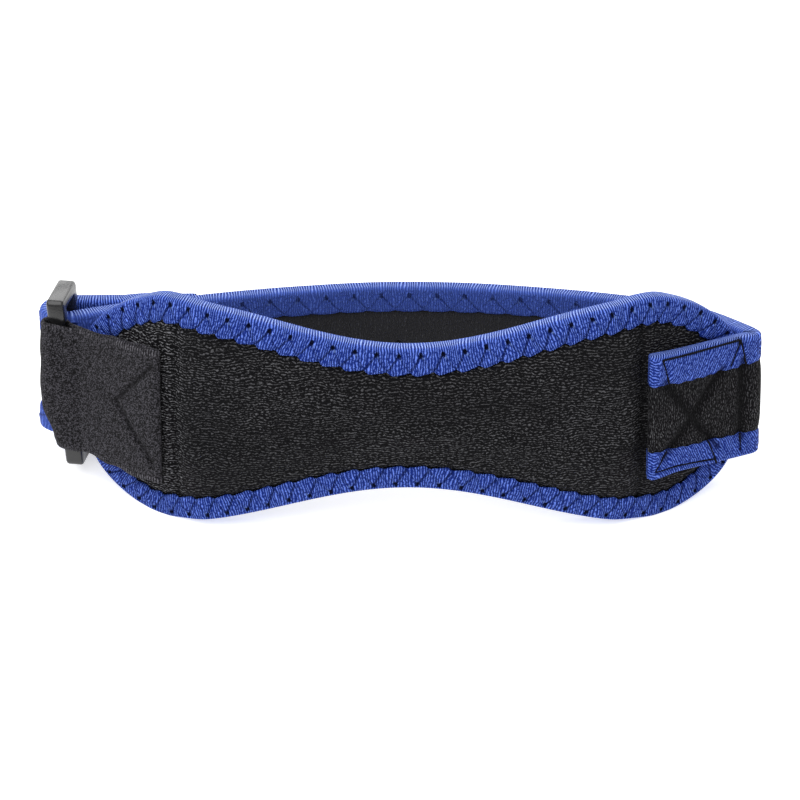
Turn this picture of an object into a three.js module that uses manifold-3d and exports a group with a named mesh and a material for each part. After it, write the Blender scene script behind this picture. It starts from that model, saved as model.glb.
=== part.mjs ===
// Patella strap: a padded front panel, a neoprene strap round the back of the knee,
// and a plastic ring buckle held by a tab of loop tape. Millimetres, +Z up.
// The loop is drawn in its own frame: x to the right, y from the front of the pad to the back,
// z up from the middle of the strap. The finished loop is then tilted back until it rests.
import * as THREE from 'three';
import { mergeVertices } from 'three/addons/utils/BufferGeometryUtils.js';
import Module from 'manifold-3d';

// Whole loop
const loopDepth = 53;
const gap = 0.3;
const restFlat = 0.35;
const tableReach = 4;

// Front pad, an hourglass cut from a bound cushion
const padHalfLength = 92.5;
const padLobeAt = 68;
const padLobeHeight = 64.1;
const padWaistHeight = 40.1;
const padEndHeight = 30.5;
const padEndFullness = 1.5;
const padLowerFullness = 1.8;
const padRaise = 0.3;
const padBowRadius = 600;
const padBendAt = 49;
const padBendLength = 26;
const padLeftSlope = 36;
const padRightSlope = 30;
const padCrown = 2.6;
const padSeamAt = 63.5;
const padSeamFall = 9;
const padEdgeThickness = 4.9;
const padMiddleThickness = 9;
const padEndRecess = 1;
const padRimRound = 0.8;
const padBindingFace = 6.6;
const padBindingWall = 0.8;

// Back strap and the binding along its two edges
const strapWidth = 36.4;
const strapThickness = 3.4;
const strapBindingFace = 6.4;
const strapBindingWall = 0.6;
const strapEndAt = 64;
const strapSeat = 0.6;
const strapFoldAt = 95.1;
const foldRadius = 1;
const foldExitHeading = 130;
const overlapLength = 19;

// Hook-and-loop patch between the two strap layers
const patchThickness = 1.1;
const patchMargin = 0.8;
const patchLength = 20;

// Round holes punched into the inner face of the neoprene
const holePitch = 12.7;
const holeStart = 16.6;
const holeDiameter = 1.7;
const holeDepth = 2;
const holeRows = 2;

// Ring buckle
const ringBar = 3.8;
const ringPitch = 12;
const ringOpening = 42;
const ringEndBar = 3.4;
const ringEndThickness = 5.2;
const ringEndAt = 19.3;
const ringHeading = 80;
const ringLift = 1.4;
const ringCornerRadius = 3.4;
const ringBevel = 1.4;
const ringBevelSteps = 2;
const ringCornerSteps = 3;

// The ring and its tab lean to the left at the top, the strap's wrap much less
const ringLean = 0.09;
const strapLean = 0.045;
const wrapRoom = 0.7;
const wrapShift = 1.4;

// Tab of loop tape that ties the ring to the pad
const tapeWidth = 38;
const tapeThickness = 1.4;
const tapeLayerGap = 0.25;
const tapeEndAt = 67.3;
const tapeReach = 5.8;
const tapeInset = -0.6;
const tapeSlack = 1.6;
const tapeSag = 0.4;

// The strap's middle line round the back of the knee, from the right fold to the left bend.
// across is a share of the distance from the middle to the fold or to the ring, depth of loopDepth.
const backRoute = [
  { across: 0.876, depth: 0.594 },
  { across: 0.763, depth: 0.698 },
  { across: 0.645, depth: 0.775 },
  { across: 0.439, depth: 0.862 },
  { across: 0.168, depth: 0.936 },
  { across: -0.086, depth: 0.945 },
  { across: -0.311, depth: 0.898 },
  { across: -0.484, depth: 0.842 },
  { across: -0.652, depth: 0.772 },
  { across: -0.830, depth: 0.695 },
];

// Fineness of the faceted solids
const padColumns = 34;
const padRows = 5;
const rimSteps = 3;
const backSteps = 36;
const arcStep = 20;
const holeSides = 6;
const mergeReach = 1e-4;
const shortestEdge = 1e-3;

const radians = (degrees) => THREE.MathUtils.degToRad(degrees);
const along = (angle) => new THREE.Vector2(Math.cos(angle), Math.sin(angle));
const leftOf = (angle) => new THREE.Vector2(-Math.sin(angle), Math.cos(angle));
const shifted = (point, direction, distance) => point.clone().addScaledVector(direction, distance);

const wasm = await Module();
wasm.setup();

function solidOf(geometry) {
  const bare = geometry.clone();
  bare.deleteAttribute('normal');
  bare.deleteAttribute('uv');
  const merged = mergeVertices(bare, mergeReach);
  return new wasm.Manifold(new wasm.Mesh({
    numProp: 3,
    vertProperties: Float32Array.from(merged.attributes.position.array),
    triVerts: Uint32Array.from(merged.index.array),
  }));
}

function geometryOf(solid) {
  const mesh = solid.getMesh();
  const geometry = new THREE.BufferGeometry();
  geometry.setAttribute('position', new THREE.BufferAttribute(mesh.vertProperties, 3));
  geometry.setIndex(new THREE.BufferAttribute(mesh.triVerts, 1));
  geometry.computeVertexNormals();
  return geometry;
}

// A place on the pad's front face in plan: a shallow bow, a bend at each lobe, a straight end.
// distance is measured from the middle, to the right when positive, and inset goes into the pad.
function padPlace(distance, inset = 0) {
  const side = distance < 0 ? -1 : 1;
  const reach = Math.abs(distance);
  const slope = radians(side < 0 ? padLeftSlope : padRightSlope);
  const bowAngle = padBendAt / padBowRadius;
  const bendRadius = padBendLength / (slope - bowAngle);
  let angle = Math.min(reach, padBendAt) / padBowRadius;
  const point = new THREE.Vector2(padBowRadius * Math.sin(angle), padBowRadius * (1 - Math.cos(angle)));
  if (reach > padBendAt) {
    const bent = bowAngle + Math.min(reach - padBendAt, padBendLength) / bendRadius;
    point.x += bendRadius * (Math.sin(bent) - Math.sin(angle));
    point.y += bendRadius * (Math.cos(angle) - Math.cos(bent));
    angle = bent;
  }
  point.addScaledVector(along(angle), Math.max(reach - padBendAt - padBendLength, 0));
  point.addScaledVector(leftOf(angle), inset);
  point.x *= side;
  return { point, heading: side * angle };
}

// Half the pad's height: a cosine from the waist to the lobe, then a rounded end, fuller below
function padHalfHeight(distance, isLower = false) {
  const reach = Math.abs(distance);
  if (reach < padLobeAt) {
    const rise = (1 - Math.cos(Math.PI * reach / padLobeAt)) / 2;
    return THREE.MathUtils.lerp(padWaistHeight, padLobeHeight, rise) / 2;
  }
  const fall = Math.min((reach - padLobeAt) / (padHalfLength - padLobeAt), 1);
  const power = isLower ? padLowerFullness : padEndFullness;
  const fullness = (1 - fall ** power) ** (1 / power);
  return THREE.MathUtils.lerp(padEndHeight, padLobeHeight, fullness) / 2;
}

// How far the front face lies behind the pad's middle line at a height
function padSetback(distance, height) {
  const reach = Math.abs(distance);
  const half = reach < padLobeAt ? padHalfHeight(distance) : padLobeHeight / 2;
  const recess = padEndRecess * THREE.MathUtils.smoothstep(reach, padSeamAt - padSeamFall, padSeamAt);
  return padCrown * (height / half) ** 2 + recess;
}

function padThickness(distance, share) {
  const cushion = 1 - THREE.MathUtils.smoothstep(Math.abs(distance), padSeamAt - padSeamFall, padSeamAt);
  return padEdgeThickness + (padMiddleThickness - padEdgeThickness) * cushion * (1 - share * share);
}

// The pad's form, drawn in by inset all round its outline and by faceInset from both faces
function padForm(inset, faceInset) {
  const box = new THREE.BoxGeometry(2, 2, 2, padColumns, rimSteps, padRows);
  const places = box.attributes.position;
  const reachOfRim = padHalfLength - inset;
  for (let i = 0; i < places.count; i += 1) {
    const column = places.getX(i);
    const across = places.getY(i);
    const share = places.getZ(i);
    const outer = Math.max(Math.abs(column) * 2 - 1, 0);
    const inner = Math.min(Math.abs(column) * 2, 1) * padLobeAt;
    const reach = inner + (padHalfLength - padLobeAt) * Math.sin(outer * Math.PI / 2);
    const distance = Math.sign(column) * reach * reachOfRim / padHalfLength;
    const bulge = padRimRound * (1 - across * across);
    const atEnd = Math.abs(column) > 1 - mergeReach;
    const atEdge = Math.abs(share) > 1 - mergeReach;
    const half = padHalfHeight(reach * Math.sign(column), share < 0) - inset;
    const height = share * half + (atEdge ? Math.sign(share) * (bulge - padRimRound) : 0);
    const front = padSetback(distance, height) + faceInset;
    const back = padSetback(distance, height) + padThickness(distance, share) - faceInset;
    const depth = THREE.MathUtils.lerp(front, back, (across + 1) / 2);
    const stretched = distance + (atEnd ? Math.sign(column) * (bulge - padRimRound) : 0);
    const { point } = padPlace(stretched, depth);
    places.setXYZ(i, point.x, point.y, height + padRaise);
  }
  return solidOf(box);
}

// Stations along a path in plan: each has a place, a heading, and in a tight fold its centre
function station(point, heading, fold = null) {
  return { point, heading, fold };
}

function arcStations(centre, radius, startHeading, turn) {
  const side = Math.sign(turn);
  const steps = Math.ceil(Math.abs(turn) / radians(arcStep));
  const fold = { centre, radius, side, middle: startHeading + turn / 2, turn: Math.abs(turn) };
  const stations = [];
  for (let i = 0; i <= steps; i += 1) {
    const heading = startHeading + turn * i / steps;
    stations.push(station(shifted(centre, leftOf(heading), -side * radius), heading, fold));
  }
  return stations;
}

// The point beside a station: inside a fold tighter than the offset, the two layers meet in a mitre
function beside(place, offset) {
  const { fold } = place;
  const isInside = fold !== null && Math.sign(offset) === fold.side && Math.abs(offset) > fold.radius;
  if (isInside) {
    const depth = (Math.abs(offset) - fold.radius) / Math.cos(fold.turn / 2);
    return shifted(fold.centre, leftOf(fold.middle), fold.side * depth);
  }
  return shifted(place.point, leftOf(place.heading), offset);
}

// A flat band on edge that follows a path, between two offsets and two heights
function band(stations, rightOffset, leftOffset, low, high) {
  const right = stations.map((place) => beside(place, rightOffset));
  const left = stations.map((place) => beside(place, leftOffset)).reverse();
  const outline = [...right, ...left].filter((point, i, all) => {
    const previous = all[(i + all.length - 1) % all.length];
    return point.distanceTo(previous) > shortestEdge;
  });
  const geometry = new THREE.ExtrudeGeometry(new THREE.Shape(outline), {
    depth: high - low,
    bevelEnabled: false,
  });
  geometry.translate(0, 0, low);
  return solidOf(geometry);
}

// Heading of the straight run from a point to a circle that is then rounded to the right
function headingToCircle(point, centre, radius) {
  const reach = centre.clone().sub(point);
  return reach.angle() + Math.asin(radius / reach.length());
}

function headingFromCircle(centre, radius, point) {
  const reach = point.clone().sub(centre);
  return reach.angle() - Math.asin(radius / reach.length());
}

// The ring's two long bars, seen in plan
const ringFront = padPlace(-(padHalfLength + tapeReach), tapeInset).point;
const ringAxis = along(radians(ringHeading));
const ringBack = shifted(ringFront, ringAxis, ringPitch);

// From a bar's middle to its rounded corner, which is what the strap and the tape bend round
const ringBarReach = (ringBar / 2 - ringBevel) * Math.SQRT2 + ringBevel;

const strapLayerPitch = strapThickness + 2 * strapBindingWall + gap;
const strapHalf = strapThickness / 2;
const boundHalf = strapHalf + strapBindingWall;

// The strap's middle line from its sewn end to the fold at the right
function frontStations() {
  const seat = padEndRecess - strapSeat - strapHalf;
  const bendEnd = padBendAt + padBendLength;
  const seated = [strapEndAt, (strapEndAt + bendEnd) / 2, bendEnd].map((distance) => padPlace(distance, seat));
  const end = padPlace(strapFoldAt, seat);
  const centre = shifted(end.point, leftOf(end.heading), foldRadius);
  const turn = radians(foldExitHeading) - end.heading;
  return [
    ...seated.map(({ point, heading }) => station(point, heading)),
    ...arcStations(centre, foldRadius, end.heading, turn),
  ];
}

// The strap's middle line round the back of the knee
function backStations(foldExit) {
  const knots = backRoute.map(({ across, depth }) => {
    const reach = across < 0 ? -ringBack.x : foldExit.x;
    return new THREE.Vector2(across * reach, depth * loopDepth);
  });
  const curve = new THREE.SplineCurve([foldExit, ...knots]);
  const stations = [];
  for (let i = 1; i <= backSteps; i += 1) {
    const share = i / backSteps;
    const heading = curve.getTangentAt(share).angle();
    stations.push(station(curve.getPointAt(share), heading));
  }
  return stations;
}

const strapFront = frontStations();
const strapBack = backStations(strapFront[strapFront.length - 1].point);

// Through the ring, round its back bar and back along the outside to the free end
function closureStations() {
  const bend = strapBack[strapBack.length - 1];
  const radius = ringBarReach + gap + wrapRoom + boundHalf;
  const centre = ringBack.clone().setX(ringBack.x - wrapShift);
  const outerBend = beside(bend, -strapLayerPitch);
  const arrive = headingToCircle(bend.point, centre, radius);
  const leave = headingFromCircle(centre, radius, outerBend);
  const turn = THREE.MathUtils.euclideanModulo(arrive - leave, 2 * Math.PI);
  return arcStations(centre, radius, arrive, -turn);
}

function overlapStations() {
  const stations = [];
  let length = 0;
  for (let i = strapBack.length - 1; i > 0 && length < overlapLength; i -= 1) {
    const place = strapBack[i];
    stations.push(station(beside(place, -strapLayerPitch), place.heading + Math.PI));
    length += place.point.distanceTo(strapBack[i - 1].point);
  }
  return stations;
}

const strapPath = [...strapFront, ...strapBack, ...closureStations(), ...overlapStations()];

// The tape's middle line: along the pad, slack round the ring's front bar and back under itself
function tapeStations() {
  const innerInset = padEndRecess - gap - tapeThickness / 2;
  const outerInset = innerInset - tapeThickness - tapeLayerGap;
  const radius = ringBarReach + gap + tapeThickness / 2;
  const slack = new THREE.Vector2(tapeSlack, tapeSag);
  const slackCentre = ringFront.clone().sub(slack);
  const bendEnd = padBendAt + padBendLength;
  const sewn = [tapeEndAt, (tapeEndAt + bendEnd) / 2, bendEnd, padHalfLength];
  const outer = sewn.map((distance) => padPlace(-distance, outerInset));
  const inner = sewn.map((distance) => padPlace(-distance, innerInset)).reverse();
  const arrive = headingToCircle(outer[outer.length - 1].point, slackCentre, radius);
  const leave = headingFromCircle(ringFront, radius, inner[0].point);
  const turnFrom = (before, after) => -THREE.MathUtils.euclideanModulo(before - after, 2 * Math.PI);
  return [
    ...outer.map(({ point, heading }) => station(point, heading + Math.PI)),
    ...arcStations(slackCentre, radius, arrive, turnFrom(arrive, slack.angle())),
    ...arcStations(ringFront, radius, slack.angle(), turnFrom(slack.angle(), leave)),
    ...inner.map(({ point, heading }) => station(point, heading)),
  ];
}

// The lowest edges of the lobes and of the strap's back carry the loop: the tilt that sets both down
const lobeBack = padPlace(padLobeAt, padCrown + padEdgeThickness / 2).point.y;
const strapLowest = Math.max(...strapBack.map((place) => beside(place, -boundHalf).y));
const lobeDrop = (padLobeHeight - strapWidth) / 2 - padRaise;
const restTilt = Math.atan2(lobeDrop, strapLowest - lobeBack);
const restDrop = strapWidth / 2 * Math.cos(restTilt) + strapLowest * Math.sin(restTilt) - restFlat;

// Everything below the surface the loop rests on
function tableSolid() {
  const reach = tableReach * padHalfLength;
  const table = new THREE.BoxGeometry(reach, reach, reach);
  table.translate(0, 0, -reach / 2 - restDrop);
  table.rotateX(restTilt);
  return solidOf(table);
}

const table = tableSolid();

function frontPad() {
  const bindingStep = padBindingWall + gap;
  const flange = padForm(bindingStep, bindingStep);
  const cushion = padForm(padBindingFace + gap, 0);
  return flange.add(cushion).subtract(table);
}

function padBinding() {
  const outside = padForm(0, 0);
  const inside = padForm(padBindingWall, padBindingWall);
  const window = padForm(padBindingFace, -padMiddleThickness);
  return outside.subtract(inside).subtract(window).subtract(table);
}

function perforations() {
  const drill = new THREE.CylinderGeometry(holeDiameter / 2, holeDiameter / 2, 2 * holeDepth, holeSides);
  const rest = strapBack.map((place) => place.point);
  const holes = [];
  let due = holeStart;
  let travelled = 0;
  for (let i = 1; i < strapBack.length; i += 1) {
    const step = rest[i].distanceTo(rest[i - 1]);
    while (due < travelled + step) {
      const centre = rest[i - 1].clone().lerp(rest[i], (due - travelled) / step);
      const inward = leftOf(strapBack[i].heading);
      const mouth = shifted(centre, inward, strapHalf);
      for (let row = 0; row < holeRows; row += 1) {
        const height = (row - (holeRows - 1) / 2) * holePitch;
        const hole = drill.clone();
        hole.rotateZ(inward.angle() - Math.PI / 2);
        hole.translate(mouth.x, mouth.y, height);
        holes.push(solidOf(hole));
      }
      due += holePitch;
    }
    travelled += step;
  }
  return holes;
}

function backStrap() {
  const half = strapWidth / 2 - strapBindingWall - gap;
  const edge = strapWidth / 2 - strapBindingFace - gap;
  const recess = strapHalf - gap;
  const slim = band(strapPath, -recess, recess, -half, half);
  const middle = band(strapPath, -strapHalf, strapHalf, -edge, edge);
  let strap = slim.add(middle);
  for (const hole of perforations()) {
    strap = strap.subtract(hole);
  }
  return strap;
}

// A fold-over binding along one edge of the strap, side being +1 at the top and -1 at the bottom
function strapBinding(side) {
  const rim = side * strapWidth / 2;
  const under = side * (strapWidth / 2 - strapBindingWall);
  const lip = side * (strapWidth / 2 - strapBindingFace);
  const between = (a, b) => [Math.min(a, b), Math.max(a, b)];
  const outside = band(strapPath, -boundHalf, boundHalf, ...between(rim, lip));
  const inside = band(strapPath, -strapHalf, strapHalf, ...between(under, 0));
  return outside.subtract(inside).subtract(table);
}

function hookPatch() {
  const inner = strapHalf + gap;
  const half = strapWidth / 2 - strapBindingFace - patchMargin;
  const stations = [];
  let length = 0;
  for (let i = strapBack.length - 1; i > 0 && length < patchLength; i -= 1) {
    stations.push(strapBack[i]);
    length += strapBack[i].point.distanceTo(strapBack[i - 1].point);
  }
  stations.reverse();
  return band(stations, -inner - patchThickness, -inner, -half, half);
}

function roundedRectangle(shape, width, height, radius) {
  const x = width / 2;
  const y = height / 2;
  shape.moveTo(-x + radius, -y);
  shape.lineTo(x - radius, -y);
  shape.absarc(x - radius, -y + radius, radius, -Math.PI / 2, 0);
  shape.lineTo(x, y - radius);
  shape.absarc(x - radius, y - radius, radius, 0, Math.PI / 2);
  shape.lineTo(-x + radius, y);
  shape.absarc(-x + radius, y - radius, radius, Math.PI / 2, Math.PI);
  shape.lineTo(-x, -y + radius);
  shape.absarc(-x + radius, -y + radius, radius, Math.PI, 3 * Math.PI / 2);
  return shape;
}

// The ring's rounded frame at a thickness, standing on its end
function ringFrame(thickness) {
  const width = ringPitch + ringBar;
  const height = ringOpening + 2 * ringEndBar;
  const innerRadius = ringCornerRadius - ringBevel;
  const frame = roundedRectangle(new THREE.Shape(), width, height, ringCornerRadius);
  frame.holes.push(roundedRectangle(new THREE.Path(), ringPitch - ringBar, ringOpening, innerRadius / 2));
  const geometry = new THREE.ExtrudeGeometry(frame, {
    depth: thickness - 2 * ringBevel,
    bevelThickness: ringBevel,
    bevelSize: ringBevel,
    bevelOffset: -ringBevel,
    bevelSegments: ringBevelSteps,
    curveSegments: ringCornerSteps,
  });
  geometry.translate(0, 0, ringBevel - thickness / 2);
  geometry.rotateX(Math.PI / 2);
  geometry.rotateZ(radians(ringHeading));
  const centre = shifted(ringFront, ringAxis, ringPitch / 2);
  geometry.translate(centre.x, centre.y, ringLift);
  return solidOf(geometry);
}

// Slim bars where the strap and the tape bend round them, thicker above and below
function buckleRing() {
  const reach = tableReach * padHalfLength;
  const middlePart = solidOf(new THREE.BoxGeometry(reach, reach, 2 * ringEndAt));
  const ends = ringFrame(ringEndThickness).subtract(middlePart);
  return ringFrame(ringBar).add(ends);
}

function ringTab() {
  return band(tapeStations(), -tapeThickness / 2, tapeThickness / 2, -tapeWidth / 2, tapeWidth / 2);
}

const blackKnit = new THREE.MeshStandardMaterial({ color: 0x17171a, roughness: 0.9, metalness: 0 });
const blueBinding = new THREE.MeshStandardMaterial({ color: 0x1d4fb8, roughness: 0.75, metalness: 0 });
const loopTape = new THREE.MeshStandardMaterial({ color: 0x1d1d21, roughness: 0.95, metalness: 0 });
const greyPlastic = new THREE.MeshStandardMaterial({ color: 0x3a3c42, roughness: 0.4, metalness: 0 });

// The lean grows with the height, from nothing at the pad's end to the whole at the ring
function leaned(solid, lean) {
  const end = padPlace(-padHalfLength);
  const outward = along(end.heading).negate();
  return solid.warp((place) => {
    const beyond = (place[0] - end.point.x) * outward.x + (place[1] - end.point.y) * outward.y;
    const share = THREE.MathUtils.clamp(beyond / (tapeReach - ringBarReach), 0, 1);
    place[0] -= lean * share * place[2];
  });
}

function node(name, solid, material) {
  const mesh = new THREE.Mesh(geometryOf(solid), material);
  mesh.name = name;
  return mesh;
}

const loop = new THREE.Group();
loop.add(
  node('front_pad', frontPad(), blackKnit),
  node('pad_binding', padBinding(), blueBinding),
  node('back_strap', leaned(backStrap(), strapLean), blackKnit),
  node('strap_binding_top', leaned(strapBinding(1), strapLean), blueBinding),
  node('strap_binding_bottom', leaned(strapBinding(-1), strapLean), blueBinding),
  node('hook_patch', leaned(hookPatch(), strapLean), loopTape),
  node('buckle_ring', leaned(buckleRing(), ringLean), greyPlastic),
  node('ring_tab', leaned(ringTab(), ringLean), loopTape),
);
loop.rotation.x = -restTilt;
loop.position.z = restDrop;

// The origin is the middle of the loop's footprint, on the surface it rests on
const patellaStrap = new THREE.Group();
patellaStrap.add(loop);
const bounds = new THREE.Box3().setFromObject(patellaStrap, true);
const middle = bounds.getCenter(new THREE.Vector3());
patellaStrap.position.set(-middle.x, -middle.y, 0);

export default patellaStrap;
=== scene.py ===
# %% Patella strap: imports and the frame
import math

import bmesh
import bpy
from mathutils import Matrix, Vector

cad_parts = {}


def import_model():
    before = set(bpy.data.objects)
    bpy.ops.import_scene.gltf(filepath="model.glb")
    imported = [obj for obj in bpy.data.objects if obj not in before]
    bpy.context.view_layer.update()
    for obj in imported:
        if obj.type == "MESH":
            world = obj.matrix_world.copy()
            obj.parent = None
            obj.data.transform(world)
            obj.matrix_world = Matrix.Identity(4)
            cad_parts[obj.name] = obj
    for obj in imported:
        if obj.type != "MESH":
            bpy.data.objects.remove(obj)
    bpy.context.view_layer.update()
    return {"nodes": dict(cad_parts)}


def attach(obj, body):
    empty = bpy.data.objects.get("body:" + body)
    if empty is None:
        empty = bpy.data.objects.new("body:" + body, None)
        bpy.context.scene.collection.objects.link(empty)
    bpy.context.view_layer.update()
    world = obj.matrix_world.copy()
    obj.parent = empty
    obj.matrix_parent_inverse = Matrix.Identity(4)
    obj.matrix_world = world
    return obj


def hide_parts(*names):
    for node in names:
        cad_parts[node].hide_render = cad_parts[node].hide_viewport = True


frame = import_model()
print("CAD nodes:", ", ".join(frame["nodes"]))

# %% [markdown]
# A knee strap closed in a loop. The loop is drawn upright in its own frame in millimetres, x to the
# right, y from the pad to the back of the knee and z up from the middle of the strap, and then tilted
# back until it rests on the lobes of the pad and the strap's lower edge. The sizes repeat the solids'.

# %% Sizes of the pad
GAP = 0.3
PAD_HALF = 92.5
PAD_LOBE_AT = 68.0
PAD_LOBE = 64.1
PAD_WAIST = 40.1
PAD_END = 30.5
PAD_FULLNESS = 1.5
PAD_LOW_FULLNESS = 1.8
PAD_RAISE = 0.3
PAD_BOW = 600.0
PAD_BEND_AT = 49.0
PAD_BEND = 26.0
PAD_LEFT = 36.0
PAD_RIGHT = 30.0
PAD_CROWN = 2.6
PAD_EDGE = 4.9
PAD_MIDDLE = 9.0
PAD_RECESS = 1.0
SEAM_AT = 63.5
SEAM_FALL = 9.0

# %% Sizes of the strap, the ring and the tape
LOOP_DEPTH = 53.0
STRAP_WIDTH = 36.4
STRAP_HALF = 1.7
BINDING_WALL = 0.6
BOUND_HALF = STRAP_HALF + BINDING_WALL
STRAP_FACE = 6.4
STRAP_END_AT = 64.0
STRAP_SEAT = 0.6
FOLD_AT = 95.1
FOLD_RADIUS = 1.0
FOLD_EXIT = 130.0
LAYER_PITCH = 2 * BOUND_HALF + GAP
OVERLAP = 19.0

RING_BAR = 3.8
RING_PITCH = 12.0
RING_OPENING = 42.0
RING_END_BAR = 3.4
RING_END_THICKNESS = 4.8
RING_END_AT = 18.7
RING_HEADING = 80.0
RING_LIFT = 1.4
RING_BEVEL = 1.4
RING_REACH = (RING_BAR / 2 - RING_BEVEL) * math.sqrt(2) + RING_BEVEL
RING_LEAN = 0.09
STRAP_LEAN = 0.045
WRAP_ROOM = 0.7
WRAP_SHIFT = 1.4

TAPE_WIDTH = 38.0
TAPE = 1.4
TAPE_END_AT = 67.3
TAPE_REACH = 5.8
TAPE_INSET = -0.6
TAPE_SLACK = Vector((1.6, 0.4))

BACK_ROUTE = [
    (0.876, 0.594), (0.763, 0.698), (0.645, 0.775), (0.439, 0.862), (0.168, 0.936),
    (-0.086, 0.945), (-0.311, 0.898), (-0.484, 0.842), (-0.652, 0.772), (-0.830, 0.695),
]

# %% [markdown]
# Everything soft follows a line in the plan, so the first helpers are small curves and easings. A
# heading is an angle in the plan, and the left side of a heading is the inside of the loop.

# %% Easing and headings
def clamp(value, low=0.0, high=1.0):
    return max(low, min(high, value))


def smooth(value, low, high):
    t = clamp((value - low) / (high - low))
    return t * t * (3 - 2 * t)


def lerp(a, b, t):
    return a + (b - a) * t


def bump(value, width):
    return math.exp(-(value / width) ** 2)


def table(rows, value):
    """Smooth steps between (value, result) rows."""
    for (low, a), (high, b) in zip(rows, rows[1:]):
        if value < high:
            return lerp(a, b, smooth(value, low, high))
    return rows[-1][1]


def along(angle):
    return Vector((math.cos(angle), math.sin(angle)))


def left_of(angle):
    return Vector((-math.sin(angle), math.cos(angle)))


# %% The pad's plan, outline and crown
def pad_place(distance, inset=0.0):
    side = -1 if distance < 0 else 1
    reach = abs(distance)
    slope = math.radians(PAD_LEFT if side < 0 else PAD_RIGHT)
    bow = PAD_BEND_AT / PAD_BOW
    radius = PAD_BEND / (slope - bow)
    angle = min(reach, PAD_BEND_AT) / PAD_BOW
    point = Vector((PAD_BOW * math.sin(angle), PAD_BOW * (1 - math.cos(angle))))
    if reach > PAD_BEND_AT:
        bent = bow + min(reach - PAD_BEND_AT, PAD_BEND) / radius
        point.x += radius * (math.sin(bent) - math.sin(angle))
        point.y += radius * (math.cos(angle) - math.cos(bent))
        angle = bent
    point += along(angle) * max(reach - PAD_BEND_AT - PAD_BEND, 0)
    point += left_of(angle) * inset
    return Vector((point.x * side, point.y)), side * angle


def pad_half(distance, is_lower=False):
    reach = abs(distance)
    if reach < PAD_LOBE_AT:
        rise = (1 - math.cos(math.pi * reach / PAD_LOBE_AT)) / 2
        return lerp(PAD_WAIST, PAD_LOBE, rise) / 2
    fall = min((reach - PAD_LOBE_AT) / (PAD_HALF - PAD_LOBE_AT), 1)
    power = PAD_LOW_FULLNESS if is_lower else PAD_FULLNESS
    fullness = (1 - fall ** power) ** (1 / power)
    return lerp(PAD_END, PAD_LOBE, fullness) / 2


def pad_setback(distance, height):
    reach = abs(distance)
    half = pad_half(distance) if reach < PAD_LOBE_AT else PAD_LOBE / 2
    recess = PAD_RECESS * smooth(reach, SEAM_AT - SEAM_FALL, SEAM_AT)
    return PAD_CROWN * (height / half) ** 2 + recess


# %% [markdown]
# The strap and the tape are flat bands on edge, so each is a route in the plan. A station is a point, a
# heading and, in a fold, its centre, so that the inner side of a tight fold meets in a mitre instead of
# crossing itself.

# %% Stations of a route
def arc(centre, radius, start, turn, step=6.0):
    side = math.copysign(1, turn)
    count = math.ceil(abs(turn) / math.radians(step))
    fold = (centre, radius, side, start + turn / 2, abs(turn))
    stations = []
    for i in range(count + 1):
        heading = start + turn * i / count
        stations.append((centre - left_of(heading) * side * radius, heading, fold))
    return stations


def beside(station, offset):
    point, heading, fold = station
    if fold is not None:
        centre, radius, side, middle, turn = fold
        if math.copysign(1, offset) == side and abs(offset) > radius:
            depth = (abs(offset) - radius) / math.cos(turn / 2)
            return centre + left_of(middle) * side * depth
    return point + left_of(heading) * offset


def to_circle(point, centre, radius):
    reach = centre - point
    return math.atan2(reach.y, reach.x) + math.asin(radius / reach.length)


def from_circle(centre, radius, point):
    reach = point - centre
    return math.atan2(reach.y, reach.x) - math.asin(radius / reach.length)


def unwound(stations):
    """The same stations with headings that never jump by a whole turn."""
    result = [stations[0]]
    for point, heading, fold in stations[1:]:
        before = result[-1][1]
        heading = before + (heading - before + math.pi) % (2 * math.pi) - math.pi
        result.append((point, heading, fold))
    return result


# %% Curves through knots, in even steps
def catmull(a, b, c, d, t):
    v0 = (c - a) / 2
    v1 = (d - b) / 2
    return (2 * b - 2 * c + v0 + v1) * t ** 3 + (-3 * b + 3 * c - 2 * v0 - v1) * t ** 2 + v0 * t + b


def lengths_of(points):
    result = [0.0]
    for a, b in zip(points, points[1:]):
        result.append(result[-1] + (b - a).length)
    return result


def resampled(points, spacing):
    lengths = lengths_of(points)
    count = round(lengths[-1] / spacing)
    result = []
    k = 0
    for i in range(count + 1):
        due = lengths[-1] * i / count
        while k < len(lengths) - 2 and lengths[k + 1] < due:
            k += 1
        share = (due - lengths[k]) / (lengths[k + 1] - lengths[k])
        result.append(points[k].lerp(points[k + 1], share))
    return result


# %% [markdown]
# The strap starts on the pad's right end, turns back in one sharp fold, runs round the knee, wraps the
# ring's back bar and lies on itself. Its route is those four runs joined.

# %% Route of the strap
ring_front = pad_place(-(PAD_HALF + TAPE_REACH), TAPE_INSET)[0]
ring_axis = along(math.radians(RING_HEADING))
ring_back = ring_front + ring_axis * RING_PITCH
pad_end, pad_end_heading = pad_place(-PAD_HALF)
FRONT_STEPS = 80
BACK_STEP = 1.1


def front_stations():
    seat = PAD_RECESS - STRAP_SEAT - STRAP_HALF
    stations = []
    for i in range(FRONT_STEPS + 1):
        point, heading = pad_place(lerp(STRAP_END_AT, FOLD_AT, i / FRONT_STEPS), seat)
        stations.append((point, heading, None))
    end, heading, _ = stations.pop()
    centre = end + left_of(heading) * FOLD_RADIUS
    return stations + arc(centre, FOLD_RADIUS, heading, math.radians(FOLD_EXIT) - heading, 10.0)


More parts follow.
